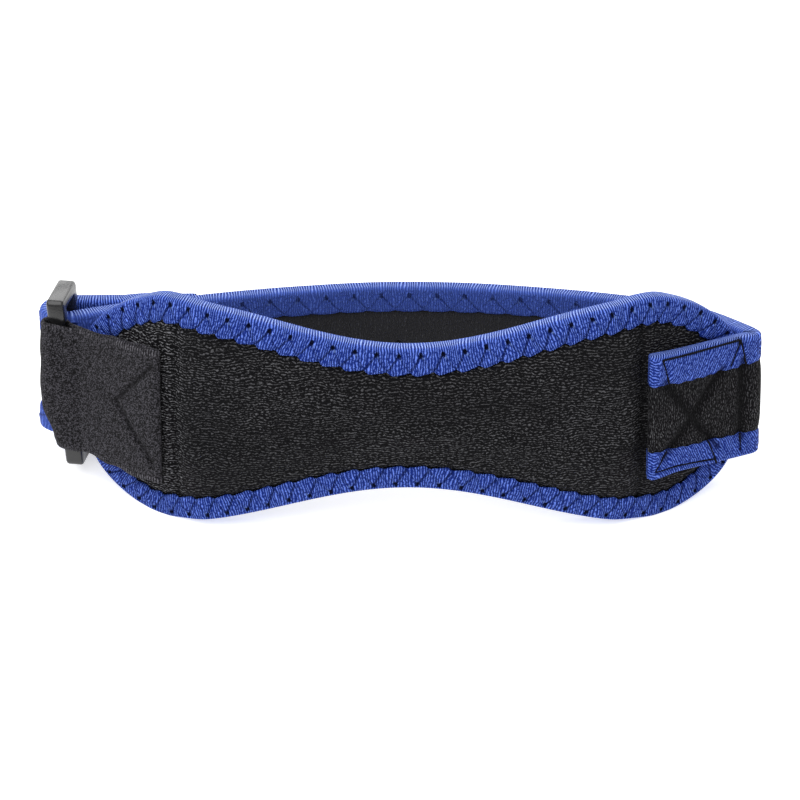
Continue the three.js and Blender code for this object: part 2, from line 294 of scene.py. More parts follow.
def back_stations(exit_point):
    knots = [exit_point]
    for across, depth in BACK_ROUTE:
        reach = -ring_back.x if across < 0 else exit_point.x
        knots.append(Vector((across * reach, depth * LOOP_DEPTH)))
    fine = []
    for k in range(len(knots) - 1):
        a = knots[max(k - 1, 0)]
        d = knots[min(k + 2, len(knots) - 1)]
        fine += [catmull(a, knots[k], knots[k + 1], d, t / 40) for t in range(40)]
    places = resampled(fine + [knots[-1]], BACK_STEP)
    stations = []
    for i in range(1, len(places)):
        reach = places[min(i + 1, len(places) - 1)] - places[i - 1]
        stations.append((places[i], math.atan2(reach.y, reach.x) % (2 * math.pi), None))
    return stations


strap_front = front_stations()
strap_back = back_stations(strap_front[-1][0])


def closure_stations():
    bend = strap_back[-1]
    radius = RING_REACH + GAP + WRAP_ROOM + BOUND_HALF
    centre = Vector((ring_back.x - WRAP_SHIFT, ring_back.y))
    arrive = to_circle(bend[0], centre, radius)
    leave = from_circle(centre, radius, beside(bend, -LAYER_PITCH))
    loop = arc(centre, radius, arrive, -((arrive - leave) % (2 * math.pi)))
    last, first = bend[0], loop[0][0]
    run_in = [(last.lerp(first, i / 6), arrive, None) for i in range(1, 6)]
    last, first = loop[-1][0], beside(bend, -LAYER_PITCH)
    run_out = [(last.lerp(first, i / 6), leave, None) for i in range(1, 6)]
    return run_in + loop + run_out


def overlap_stations():
    stations = []
    length = 0.0
    for i in range(len(strap_back) - 1, 0, -1):
        if length > OVERLAP:
            break
        stations.append((beside(strap_back[i], -LAYER_PITCH), strap_back[i][1] + math.pi, None))
        length += (strap_back[i][0] - strap_back[i - 1][0]).length
    return stations


strap_path = unwound(strap_front + strap_back + closure_stations() + overlap_stations())
strap_lengths = lengths_of([s[0] for s in strap_path])
FRONT_LENGTH = strap_lengths[len(strap_front) - 1]
STRAP_RUN = strap_lengths[-1]
print(f"strap route {STRAP_RUN:.0f} mm, of which {FRONT_LENGTH:.1f} mm lie on the pad")

# %% [markdown]
# The tape goes out over the pad's left end, slackly round the ring's front bar and back underneath. Its
# slack is a first arc about a centre that lies a little outside the bar.

# %% Route of the tape
TAPE_OVERRUN = 1.1


def tape_stations():
    inner_inset = PAD_RECESS - GAP - TAPE / 2
    outer_inset = inner_inset - TAPE - 0.25
    radius = RING_REACH + GAP + TAPE / 2
    slack_centre = ring_front - TAPE_SLACK
    outer = []
    inner = []
    for i in range(49):
        outer.append((*pad_place(-lerp(TAPE_END_AT - TAPE_OVERRUN, PAD_HALF, i / 48), outer_inset), None))
        inner.append((*pad_place(-lerp(TAPE_END_AT, PAD_HALF, i / 48), inner_inset), None))
    arrive = to_circle(outer[-1][0], slack_centre, radius)
    between = math.atan2(TAPE_SLACK.y, TAPE_SLACK.x)
    leave = from_circle(ring_front, radius, inner[-1][0])
    first_arc = arc(slack_centre, radius, arrive, -((arrive - between) % (2 * math.pi)))
    second_arc = arc(ring_front, radius, between, -((between - leave) % (2 * math.pi)))
    run_in = [(outer[-1][0].lerp(first_arc[0][0], i / 5), arrive, None) for i in range(1, 5)]
    run_mid = [(first_arc[-1][0].lerp(second_arc[0][0], i / 3), between, None) for i in range(1, 3)]
    run_out = [(second_arc[-1][0].lerp(inner[-1][0], i / 5), leave, None) for i in range(1, 5)]
    first = [(point, heading + math.pi, None) for point, heading, _ in outer]
    return unwound(first + run_in + first_arc + run_mid + second_arc + run_out + inner[::-1])


tape_path = tape_stations()
tape_lengths = lengths_of([s[0] for s in tape_path])
tape_left = min(station[0].x for station in tape_path)
strap_left = min(station[0].x for station in strap_path)
print(f"tape route {tape_lengths[-1]:.0f} mm, left edge at x {tape_left:.1f} mm")

# %% [markdown]
# The rest tilt and drop follow from the sizes: the pad's lobes and the strap's lower edge touch the
# floor together. What would dip below the floor is pressed flat on it, as cloth is.

# %% From the loop to the row frame
REST_FLAT = 0.35
FLOOR = 0.02
ORIGIN_X = 2.832
ORIGIN_Y = -25.443
strap_lowest = max(beside(s, -BOUND_HALF).y for s in strap_back)
lobe_back = pad_place(PAD_LOBE_AT, PAD_CROWN + PAD_EDGE / 2)[0].y
REST_TILT = math.atan2((PAD_LOBE - STRAP_WIDTH) / 2 - PAD_RAISE, strap_lowest - lobe_back)
REST_DROP = STRAP_WIDTH / 2 * math.cos(REST_TILT) + strap_lowest * math.sin(REST_TILT) - REST_FLAT
SINE = math.sin(REST_TILT)
COSINE = math.cos(REST_TILT)


def world(x, y, z):
    depth = y * COSINE + z * SINE + ORIGIN_Y
    height = z * COSINE - y * SINE + REST_DROP
    return Vector(((x + ORIGIN_X) / 1000, depth / 1000, max(height, FLOOR) / 1000))


def lean_share(point):
    """How far a point is past the pad's left end, from 0 on the pad to 1 at the ring."""
    beyond = (point - pad_end).dot(-along(pad_end_heading))
    return clamp(beyond / (TAPE_REACH - RING_REACH))


print(f"rest tilt {math.degrees(REST_TILT):.2f} degrees")

# %% [markdown]
# Every cloth band is one bmesh grid. The operator makes the vertices and faces, and each vertex is then
# moved to its place, with a UV map in millimetres, u along the band and v across it, so that weave and
# stitches keep their true scale wherever the band turns.

# %% Grid pieces
def grid_piece(name, columns, rows, place, close=False, caps=False):
    """place(i, j) gives the point in metres, the UV values in millimetres and the painted shade of a crease
    there.
    """
    mesh = bpy.data.meshes.new(name)
    bm = bmesh.new()
    bmesh.ops.create_grid(bm, x_segments=columns, y_segments=rows, size=0.5)
    uv = bm.loops.layers.uv.new("millimetres")
    crease_shade = bm.verts.layers.float.new("crease_shade")
    placed = {}
    for vert in bm.verts:
        placed[vert] = place(round((vert.co.x + 0.5) * columns), round((vert.co.y + 0.5) * rows))
    for face in bm.faces:
        for loop in face.loops:
            loop[uv].uv = placed[loop.vert][1:3]
    for vert, (point, _, _, press) in placed.items():
        vert.co = point
        vert[crease_shade] = press
    if close:
        bmesh.ops.remove_doubles(bm, verts=bm.verts, dist=2e-6)
    if caps:
        edges = [edge for edge in bm.edges if edge.is_boundary]
        bmesh.ops.holes_fill(bm, edges=edges, sides=0)
    return finished_piece(name, mesh, bm)


def finished_piece(name, mesh, bm):
    bmesh.ops.recalc_face_normals(bm, faces=bm.faces)
    bm.to_mesh(mesh)
    bm.free()
    for polygon in mesh.polygons:
        polygon.use_smooth = True
    piece = bpy.data.objects.new(name, mesh)
    bpy.context.scene.collection.objects.link(piece)
    print(f"{name}: {len(mesh.polygons)} faces")
    return piece


# %% [markdown]
# Node materials. A small wrapper keeps the maths of the weave patterns readable: every pattern is a
# height from 0 to 1, which drives both the colour and the bump.

# %% Node helpers
class Nodes:
    def __init__(self, name):
        self.material = bpy.data.materials.new(name)
        self.material.use_nodes = True
        self.tree = self.material.node_tree
        self.shader = next(n for n in self.tree.nodes if n.type == "BSDF_PRINCIPLED")

    def new(self, kind, **sockets):
        node = self.tree.nodes.new(kind)
        for name, value in sockets.items():
            self.feed(node.inputs[name.replace("_", " ")], value)
        return node

    def feed(self, socket, value):
        if isinstance(value, bpy.types.NodeSocket):
            self.tree.links.new(value, socket)
        else:
            socket.default_value = value

    def math(self, operation, a, b=0.0, c=0.0):
        node = self.tree.nodes.new("ShaderNodeMath")
        node.operation = operation
        for socket, value in zip(node.inputs, (a, b, c)):
            self.feed(socket, value)
        return node.outputs[0]

    def times(self, a, b):
        return self.math("MULTIPLY", a, b)

    def plus(self, a, b):
        return self.math("ADD", a, b)

    def minus(self, a, b):
        return self.math("SUBTRACT", a, b)

    def inverse(self, a):
        return self.math("SUBTRACT", 1.0, a)

    def length(self, a, b):
        return self.math("SQRT", self.plus(self.times(a, a), self.times(b, b)))

    def ramp(self, value, low, high):
        node = self.tree.nodes.new("ShaderNodeMapRange")
        node.interpolation_type = "SMOOTHSTEP"
        self.feed(node.inputs["Value"], value)
        node.inputs["From Min"].default_value = low
        node.inputs["From Max"].default_value = high
        return node.outputs["Result"]

    def blend(self, factor, a, b):
        """Between two numbers."""
        return self.plus(a, self.times(factor, self.minus(b, a)))

    def mix(self, factor, a, b):
        """Between two colours."""
        node = self.tree.nodes.new("ShaderNodeMix")
        node.data_type = "RGBA"
        self.feed(node.inputs["Factor"], factor)
        for name, value in (("A", a), ("B", b)):
            socket = next(s for s in node.inputs if s.name == name and s.type == "RGBA")
            self.feed(socket, value)
        return next(s for s in node.outputs if s.type == "RGBA")

    def uv(self):
        node = self.tree.nodes.new("ShaderNodeUVMap")
        node.uv_map = "millimetres"
        split = self.new("ShaderNodeSeparateXYZ", Vector=node.outputs[0])
        return split.outputs["X"], split.outputs["Y"]

    def vector(self, x, y, z=0.0):
        return self.new("ShaderNodeCombineXYZ", X=x, Y=y, Z=z).outputs[0]

    def noise(self, vector, scale, detail=2.0, roughness=0.5):
        grain = {"Vector": vector, "Scale": scale, "Detail": detail, "Roughness": roughness}
        return self.new("ShaderNodeTexNoise", **grain).outputs[0]

    def uv_noise(self, u, v, along_scale, across_scale, detail=2.0):
        place = self.vector(self.times(u, along_scale), self.times(v, across_scale))
        return self.noise(place, 1.0, detail)

    def crease_shade(self):
        """How deep a seam's crease is here, which paints shade into it, written on each vertex by the piece
        itself.
        """
        node = self.tree.nodes.new("ShaderNodeAttribute")
        node.attribute_name = "crease_shade"
        return node.outputs["Fac"]

    def object_place(self):
        return self.tree.nodes.new("ShaderNodeTexCoord").outputs["Object"]

    def finish(self, colour, height, depth, roughness, specular=0.5, sheen=0.0):
        bump_node = self.new("ShaderNodeBump", Height=height)
        bump_node.inputs["Strength"].default_value = 1.0
        bump_node.inputs["Distance"].default_value = depth
        self.tree.links.new(bump_node.outputs[0], self.shader.inputs["Normal"])
        self.feed(self.shader.inputs["Base Color"], colour)
        self.feed(self.shader.inputs["Roughness"], roughness)
        self.shader.inputs["Specular IOR Level"].default_value = specular
        self.shader.inputs["Sheen Weight"].default_value = sheen
        print("finish", self.material.name, "made with", len(self.tree.nodes), "nodes")
        return self.material


def colour(red, green, blue):
    return (red, green, blue, 1.0)


# %% [markdown]
# The stretch binding is a satin ribbed tape folded over the edge. Its ribs lie open on the rim, where their
# tops carry a painted highlight, and waver on the face, where a zig-zag seam pulls it into petals: a needle
# hole at the top of each zig, painted near-black as shade in the hole and with a painted highlight speck on
# its lit edge, and a crease down to the lip on either side, one stronger than the other. The seam's lines
# are painted dark, partly the sunk thread and partly painted shade in the creases, the line on the shaded
# side darker. On the strap's sewn end there is no zig-zag, the ribs slant, and they turn with the tape
# round the corner. The inner side, which rubs on the knee, is smoother.

# %% Binding finish
RIB = 0.7


def binding_material(name, pitch, hole_at, lip_at, phase, seam_from, strength, painted_highlight, inner_tone):
    """hole_at and lip_at are measured from the rim; there is a zig-zag only where u is past seam_from."""
    n = Nodes(name)
    u, v = n.uv()
    front = n.math("ABSOLUTE", v)
    on_face = n.ramp(front, 2.0, 3.4)
    is_outer = n.ramp(v, -0.5, 0.5)
    plain_end = n.inverse(n.ramp(u, seam_from - 2.0, seam_from))
    wobble = n.minus(n.uv_noise(u, v, 0.8, 0.5, 3.0), 0.5)
    sway = n.minus(n.uv_noise(u, v, 0.1, 0.06), 0.5)
    moved = n.plus(n.times(wobble, n.blend(on_face, 0.25, 1.2)), n.times(sway, 4.0))
    slant = n.times(n.times(front, 0.55), plain_end)
    wave = n.math("SINE", n.times(n.plus(n.plus(u, moved), slant), 2 * math.pi / RIB))
    turned = n.math("SINE", n.times(n.plus(v, moved), 2 * math.pi / RIB))
    corner = n.times(n.times(plain_end, n.inverse(n.ramp(u, 2.4, 3.2))), on_face)
    wave = n.blend(corner, wave, turned)
    broken = n.uv_noise(u, v, 1.25, 1.35, 3.0)
    ribs = n.math("MULTIPLY_ADD", wave, 0.5, 0.5)
    ribs = n.times(ribs, n.blend(on_face, 1.0, n.ramp(broken, 0.26, 0.6)))
    grain = n.noise(n.object_place(), 2300.0, 2.0)

    place = n.math("FRACT", n.plus(n.math("DIVIDE", u, pitch), phase))
    zag = n.inverse(n.math("ABSOLUTE", n.math("MULTIPLY_ADD", place, 2.0, -1.0)))
    line = n.math("MULTIPLY_ADD", zag, lip_at - hole_at, hole_at)
    squint = (pitch / 2) / math.hypot(pitch / 2, lip_at - hole_at)
    away = n.times(n.math("ABSOLUTE", n.minus(n.plus(front, n.times(wobble, 0.8)), line)), squint)
    # One line of each zig weighs more than the other, in the bump and in the painted shade below, because
    # the light falls from one side.
    strong = n.math("MULTIPLY_ADD", n.ramp(place, 0.45, 0.55), 0.5, 0.5)
    seam = n.times(n.inverse(n.ramp(away, 0.06, 0.42)), n.ramp(front, hole_at - 0.3, hole_at))
    seamed = n.times(n.inverse(plain_end), strength)
    seam = n.times(n.times(seam, strong), seamed)
    beside_hole = n.times(n.math("PINGPONG", place, 0.5), pitch)
    ragged = n.times(n.minus(broken, 0.5), 0.7)
    span = n.length(beside_hole, n.times(n.minus(front, hole_at), 0.8))
    hole = n.times(n.inverse(n.ramp(n.plus(span, ragged), 0.3, 0.72)), seamed)
    signed = n.times(n.minus(n.math("FRACT", n.plus(place, 0.5)), 0.5), pitch)
    painted_glint = n.length(n.minus(signed, 0.55), n.minus(front, hole_at + 0.75))
    painted_glint = n.times(n.inverse(n.ramp(painted_glint, 0.15, 0.5)), seamed)

    height = n.plus(ribs, n.times(grain, 0.3))
    height = n.minus(height, n.times(seam, 1.1))
    height = n.minus(height, n.times(hole, 2.4))
    tone = n.ramp(n.plus(n.times(ribs, 0.85), n.times(grain, 0.35)), 0.28, 0.98)
    tone = n.blend(is_outer, n.math("MULTIPLY_ADD", tone, 0.4, inner_tone), tone)
    low = colour(0.006, 0.02, 0.17)
    high = colour(0.135, 0.23, 0.78)
    base = n.mix(tone, low, high)
    # Painted shade in the creases of the strap end's seams.
    base = n.mix(n.times(n.crease_shade(), 0.9), base, colour(0.001, 0.003, 0.035))
    # Painted highlight: the rib tops on the rim, which face the light, are mixed towards pale blue.
    rim = n.times(n.inverse(n.ramp(front, 1.0, 2.3)), n.ramp(ribs, 0.6, 0.95))
    base = n.mix(n.times(rim, painted_highlight), base, colour(0.36, 0.48, 0.86))
    # Painted highlight: a pale speck on the lit edge of each needle hole.
    base = n.mix(n.times(n.times(painted_glint, n.ramp(broken, 0.35, 0.6)), 0.6), base, colour(0.22, 0.34, 0.7))
    # The seam's lines painted dark: partly the sunk thread, partly painted shade in the creases.
    base = n.mix(n.times(seam, 0.75), base, colour(0.001, 0.005, 0.06))
    # Needle holes painted near-black: painted shade in the holes.
    base = n.mix(n.times(hole, 0.95), base, colour(0.001, 0.0012, 0.008))
    return n.finish(base, height, 0.00032, 0.6, 0.06)


# %% [markdown]
# The black cloths. The pad's knit shows short dashes in rows on a near-black ground, painted bright as
# glints on the yarn, and painted lighter outside the left seam, where the cloth turns to the light. The
# neoprene strap has a finer knit turned upright, with faint punched holes painted darker as shade, and is
# smooth on its inner side. The loop tape is a fine pile, seen as fuzz, with woven ribs along its two
# selvages.

# %% Knit finish
HOLE_PITCH = 12.7
HOLE_RADIUS = 0.8
HOLE_LIFT = 1.8


def knit_material(name, row, painted_highlight, has_holes=False, painted_light_before=-1000.0, is_turned=False):
    n = Nodes(name)
    u, v = n.uv()
    across, run = (u, v) if is_turned else (v, u)
    drift = n.minus(n.uv_noise(u, v, 0.1, 0.1, 2.0), 0.5)
    wobble = n.minus(n.uv_noise(run, across, 0.75, 0.95, 3.0), 0.5)
    rows = n.plus(n.plus(across, n.times(drift, 4.0)), n.times(wobble, 1.5))
    wave = n.math("MULTIPLY_ADD", n.math("SINE", n.times(rows, 2 * math.pi / row)), 0.5, 0.5)
    dashes = n.ramp(n.uv_noise(run, across, 1.35, 1.9, 3.0), 0.4, 0.6)
    fuzz = n.noise(n.object_place(), 2600.0, 3.0, 0.6)
    yarn = n.times(wave, n.blend(dashes, 0.3, 1.0))
    height = n.plus(yarn, n.times(fuzz, 0.5))
    tone = n.ramp(n.plus(n.times(yarn, 0.85), n.times(fuzz, 0.4)), 0.42, 1.05)
    # Painted light: the knit outside the left seam keeps its full tone, as that face turns to the light;
    # elsewhere it is painted darker, in random patches.
    near = n.inverse(n.ramp(u, painted_light_before, painted_light_before + 4.0))
    patchy = n.ramp(n.uv_noise(u, v, 0.03, 0.05, 2.0), 0.35, 0.65)
    tone = n.times(tone, n.blend(near, n.blend(patchy, 0.34, 0.52), 1.0))
    if has_holes:
        is_outer = n.ramp(v, 100.0, 101.0)
        tone = n.blend(is_outer, n.math("MULTIPLY_ADD", tone, 0.3, 0.12), tone)
    # The light end of the tone is partly the knit's dashes and partly painted glints on them.
    base = n.mix(tone, colour(0.0026, 0.0024, 0.0032), colour(painted_highlight, painted_highlight, painted_highlight * 1.07))
    # Painted shade in the creases of the seams.
    base = n.mix(n.times(n.crease_shade(), 0.85), base, colour(0.002, 0.002, 0.0025))
    if has_holes:
        cell_u = n.minus(n.math("FRACT", n.math("DIVIDE", u, HOLE_PITCH)), 0.5)
        lifted = n.plus(n.math("DIVIDE", n.minus(v, HOLE_LIFT), HOLE_PITCH), 0.5)
        cell_v = n.minus(n.math("FRACT", lifted), 0.5)
        span = n.times(n.length(cell_u, cell_v), HOLE_PITCH)
        hole = n.inverse(n.ramp(span, HOLE_RADIUS * 0.7, HOLE_RADIUS * 1.3))
        hole = n.times(hole, n.ramp(u, 0.0, 1.0))
        height = n.minus(height, n.times(hole, 3.0))
        # Punched holes painted darker: painted shade in the holes.
        base = n.mix(n.times(hole, 0.8), base, colour(0.0015, 0.0015, 0.0015))
    return n.finish(base, height, 0.00024, 0.85, 0.1)


# %% Tape, thread and plastic finishes
SELVAGE_RIB = 0.78


def tape_material(name):
    n = Nodes(name)
    u, v = n.uv()
    place = n.object_place()
    pile = n.noise(place, 3000.0, 3.0, 0.75)
    tufts = n.noise(place, 1500.0, 2.0)
    selvage = n.ramp(n.math("ABSOLUTE", v), TAPE_WIDTH / 2 - 1.7, TAPE_WIDTH / 2 - 1.2)
    weave = n.math("MULTIPLY_ADD", n.math("SINE", n.times(u, 2 * math.pi / SELVAGE_RIB)), 0.5, 0.5)
    near_end = n.inverse(n.ramp(u, 11.0, 16.0))
    selvage = n.times(selvage, n.blend(near_end, 0.4, 1.0))
    height = n.blend(selvage, n.times(pile, 1.6), n.plus(weave, n.times(pile, 0.5)))
    tone = n.ramp(n.plus(n.times(pile, 0.8), n.times(tufts, 0.3)), 0.49, 0.68)
    tone = n.blend(n.times(selvage, 0.8), tone, n.times(weave, n.ramp(pile, 0.35, 0.6)))
    base = n.mix(tone, colour(0.002, 0.0019, 0.0024), colour(0.078, 0.075, 0.088))
    ribbed = n.times(selvage, n.times(weave, n.ramp(tufts, 0.3, 0.8)))
    base = n.mix(ribbed, base, colour(0.16, 0.155, 0.175))
    # Painted shade in the creases of the tab's cross seam.
    base = n.mix(n.times(n.crease_shade(), 0.8), base, colour(0.002, 0.002, 0.0025))
    return n.finish(base, height, 0.0003, 0.9, 0.1, 0.02)


def thread_material(name, base):
    n = Nodes(name)
    twist = n.noise(n.object_place(), 3000.0, 2.0)
    tone = n.mix(twist, base, colour(base[0] * 2.2, base[1] * 2.2, base[2] * 2.0))
    return n.finish(tone, twist, 0.00005, 0.8, 0.05)


def plastic_material(name):
    n = Nodes(name)
    place = n.object_place()
    grain = n.noise(place, 1500.0, 3.0)
    wear = n.noise(place, 160.0, 4.0)
    base = n.mix(n.ramp(wear, 0.3, 0.75), colour(0.009, 0.009, 0.01), colour(0.018, 0.018, 0.019))
    rough = n.math("MULTIPLY_ADD", wear, 0.2, 0.14)
    return n.finish(base, grain, 0.00003, rough, 0.55)


# %% [markdown]
# The pad's outline is sampled once round, evenly, and smoothed, so that the binding's section can be
# swept along it. The zig-zag then fits a whole number of times round the pad.

# %% Pad outline
OUTLINE_STEP = 0.36


def pad_outline():
    points = []
    steps = 400
    end_steps = 60
    for side in (1, -1):
        for i in range(steps + 1):
            d = -side * PAD_HALF * math.cos(math.pi * i / steps)
            points.append(Vector((d, side * pad_half(d, side < 0))))
        for i in range(1, end_steps):
            points.append(Vector((side * PAD_HALF, side * PAD_END / 2 * (1 - 2 * i / end_steps))))
    points.append(points[0].copy())
    even = resampled(points, OUTLINE_STEP)[:-1]
    count = len(even)
    reach = round(3.0 / OUTLINE_STEP)
    weights = [1 - abs(k) / (reach + 1) for k in range(-reach, reach + 1)]
    rounded = []
    for i in range(count):
        total = Vector((0.0, 0.0))
        for k, weight in zip(range(-reach, reach + 1), weights):
            total += even[(i + k) % count] * weight
        rounded.append(total / sum(weights))
    return rounded


def outline_normal(i):
    ahead = outline[(i + 4) % outline_count] - outline[(i - 4) % outline_count]
    ahead.normalize()
    return Vector((ahead.y, -ahead.x))


outline = pad_outline()
outline_count = len(outline)
outline_lengths = lengths_of(outline + [outline[0]])
outline_normals = [outline_normal(i) for i in range(outline_count)]
ZIG = 5.78
ZIG_PITCH = outline_lengths[-1] / round(outline_lengths[-1] / ZIG)
print(f"pad outline {outline_lengths[-1]:.0f} mm, zig-zag pitch {ZIG_PITCH:.2f} mm")


def pad_point(d, z, depth):
    point, _ = pad_place(d, pad_setback(d, z) + depth)
    return world(point.x, point.y, z + PAD_RAISE)


# %% [markdown]
# The pad's binding is one closed U section swept round the outline. The lip is pulled in at each cusp of
# the seam, the petals between the seam's lines puff out, and the seam sinks in.

# %% Pad binding
PAD_FACE = 6.4
RIM_PROUD = 0.36
PAD_HOLE_AT = 4.0
ZIG_PHASE = 0.145


def pad_binding_rows():
    """(inset, depth, v in millimetres) from the front lip over the rim to the back lip and inside."""
    front_side = [(PAD_FACE - 0.1, 0.75), (PAD_FACE + 0.05, 0.3), (PAD_FACE - 0.25, -0.05),
                  (PAD_FACE - 0.75, -0.28)]
    for k in range(11):
        inset = lerp(PAD_FACE - 1.3, 0.75, k / 10)
        front_side.append((inset, -0.42 - 0.06 * math.sin(math.pi * k / 10)))
    front_side += [(0.3, -0.3), (-0.05, -0.05), (-0.24, 0.35), (-RIM_PROUD, 0.9), (-RIM_PROUD - 0.03, 1.6),
                   (-RIM_PROUD - 0.03, PAD_EDGE / 2)]
    back_side = [(inset, PAD_EDGE - depth) for inset, depth in reversed(front_side[:-1])]
    outer = front_side + back_side
    inner = [(PAD_FACE - 0.6, PAD_EDGE - 1.0), (1.0, PAD_EDGE - 0.95), (0.9, 0.95), (PAD_FACE - 0.6, 1.0)]
    lengths = lengths_of([Vector(p) for p in outer])
    middle = lengths[len(front_side) - 1]
    rows = [(p[0], p[1], middle - lengths[k]) for k, p in enumerate(outer)]
    rows += [(p[0], p[1], 9.6) for p in inner]
    return rows + [rows[0]]


def seam_offset(share, v, hole_at, lip_at):
    """How near a point is to the zig-zag, as a bump that is strong on one line and weak on the other."""
    zag = 1 - abs(2 * share - 1)
    line = lerp(hole_at, lip_at, zag)
    strength = 1.0 if share > 0.5 else 0.35
    return strength * bump(abs(v) - line, 0.75) if abs(v) > hole_at - 0.6 else 0.0


def pad_binding_piece():
    rows = pad_binding_rows()
    lip_at = rows[0][2] - 0.6

    def place(i, j):
        k = i % outline_count
        u = outline_lengths[i]
        inset, depth, v = rows[j]
        share = (u / ZIG_PITCH + ZIG_PHASE) % 1
        zag = 1 - abs(2 * share - 1)
        lip = smooth(inset, PAD_FACE - 2.6, PAD_FACE)
        drag = 0.25 * math.sin(2 * math.pi * share)
        inset -= lip * (0.6 * smooth(zag, 0.5, 1.0) - 0.25 + drag)
        if abs(v) < 9.5:
            proud = 1 if depth < PAD_EDGE / 2 else -1
            puff = 0.3 * smooth(inset, 1.2, 3.2) * (0.6 - zag * smooth(abs(v), 3.6, 8.2))
            dent = 0.22 * seam_offset(share, v, PAD_HOLE_AT, lip_at)
            hole = 0.4 * bump(abs(v) - PAD_HOLE_AT, 0.7) * bump(min(share, 1 - share) * ZIG_PITCH, 0.7)
            depth += (hole + dent - puff) * proud
        point = outline[k] + outline_normals[k] * inset
        return pad_point(point.x, point.y, depth), u * ZIG / ZIG_PITCH, v, 0.0

    return grid_piece("pad_rim_binding", outline_count, len(rows) - 1, place, close=True)


# %% [markdown]
# The cushion is knit over foam. It dips under the binding's lip, swells between the two upright seams
# and lies thinner outside them, so its depth is worked out from the distance to the edge and the seams.

# %% Cushion
def edge_distance(d, z):
    half = pad_half(d, z < 0)
    slope = pad_half(d + 0.5, z < 0) - pad_half(d - 0.5, z < 0) if abs(d) < PAD_HALF - 1 else 0.0
    return min((half - abs(z)) / math.sqrt(1 + slope * slope), PAD_HALF - abs(d))


def seam_press(d, reach):
    return bump(abs(d) - SEAM_AT, 1.1) * smooth(reach, 4.0, 7.0)


def cushion_depth(d, z, is_front):
    reach = edge_distance(d, z)
    cushion = 1 - smooth(abs(d), SEAM_AT - 4.5, SEAM_AT - 0.3)
    under = 1 - smooth(reach, 5.8, 8.2)
    swell = math.sin(math.pi / 2 * clamp((reach - 6.0) / 13.0))
    if is_front:
        seam = 0.85 * seam_press(d, reach)
        shoulder = 0.6 * bump(abs(d) - (SEAM_AT - 5.0), 3.6)
        rise = cushion * (1.25 + shoulder) * swell + 0.3 * (1 - cushion) * swell
        pucker = 0.1 * math.sin(z * 1.1) * bump(abs(d) - SEAM_AT, 3.0) * swell
        return 0.12 + 1.1 * under - rise + seam + pucker
    return lerp(PAD_EDGE, PAD_MIDDLE, cushion * swell) - 0.12 - 1.1 * under


def cushion_piece():
    columns = 220
    rows = 60
    hem = 2.6

    def place(i, j):
        d = lerp(hem - PAD_HALF, PAD_HALF - hem, i / columns)
        is_front = j <= rows
        share = (2 * j / rows - 1) if is_front else (1 - 2 * (j - rows) / rows)
        share = math.copysign(abs(share) ** 0.92, share)
        z = share * (pad_half(d, share < 0) - hem)
        depth = cushion_depth(d, z, is_front)
        across = 2 * i / columns - 1
        rounded = math.sqrt(max(0.0, 1 - share ** 24)) * math.sqrt(max(0.0, 1 - across ** 60))
        depth = lerp(PAD_EDGE / 2, depth, rounded)
        # The value that paints shade along the upright seams.
        press = 0.6 * seam_press(d, edge_distance(d, z)) ** 2 if is_front else 0.0
        return pad_point(d, z, depth), d, z if is_front else z + 200, press

    return grid_piece("pad_cushion", columns, 2 * rows, place, close=True, caps=True)


# %% [markdown]
# Foam pushes the knit out between its seams, and a short cloth simulation lets it do so: the knit is
# pinned where it is sewn or held, inflated from inside without gravity, and no point may move further
# than a cap, so the cushion stays in the space of its solid.

# %% Cushion simulation
SWELL_CAP = 0.0009
SWELL_PRESSURE = 4.0
SWELL_FRAMES = 20


def pinned(d, reach):
    held = max(smooth(abs(d), SEAM_AT - 2.5, SEAM_AT - 0.5), 1 - smooth(reach, 6.5, 9.0))
    return 1.0 if held > 0.5 else held


def cushion_pins(piece):
    """One weight a vertex, read back from the piece's own UV map. The back is pinned all over."""
    weights = [1.0] * len(piece.data.vertices)
    for loop, place in zip(piece.data.loops, piece.data.uv_layers["millimetres"].data):
        d, z = place.uv
        is_front = abs(z) < 100
        weights[loop.vertex_index] = pinned(d, edge_distance(d, z)) if is_front else 1.0
    return weights


def swell(piece, pins):
    scene = bpy.context.scene
    group = piece.vertex_groups.new(name="sewn")
    for index, weight in enumerate(pins):
        group.add([index], weight, "REPLACE")
    cloth = piece.modifiers.new("swell", "CLOTH")
    cloth.settings.quality = 4
    cloth.settings.mass = 0.15
    cloth.settings.tension_stiffness = 20.0
    cloth.settings.compression_stiffness = 12.0
    cloth.settings.shear_stiffness = 6.0
    cloth.settings.bending_stiffness = 0.6
    cloth.settings.vertex_group_mass = "sewn"
    cloth.settings.use_pressure = True
    cloth.settings.uniform_pressure_force = SWELL_PRESSURE
    cloth.settings.effector_weights.gravity = 0.0
    cloth.point_cache.frame_start = 1
    cloth.point_cache.frame_end = SWELL_FRAMES
    for step in range(1, SWELL_FRAMES + 1):
        scene.frame_set(step)
    evaluated = piece.evaluated_get(bpy.context.evaluated_depsgraph_get())
    moved = [vert.co.copy() for vert in evaluated.data.vertices]
    piece.modifiers.remove(cloth)
    piece.vertex_groups.remove(group)
    furthest = 0.0
    for vert, target in zip(piece.data.vertices, moved):
        step = target - vert.co
        furthest = max(furthest, step.length)
        if step.length > SWELL_CAP:
            step *= SWELL_CAP / step.length
        vert.co += step
    scene.frame_set(1)
    print(f"cushion swelled by up to {furthest * 1000:.2f} mm, capped at {SWELL_CAP * 1000:.1f} mm")


# %% [markdown]
# The strap's sewn end carries a box-and-cross seam. Its lines are listed once as (length along the
# strap, height), and both the cloth's creases and the sunk threads follow them.

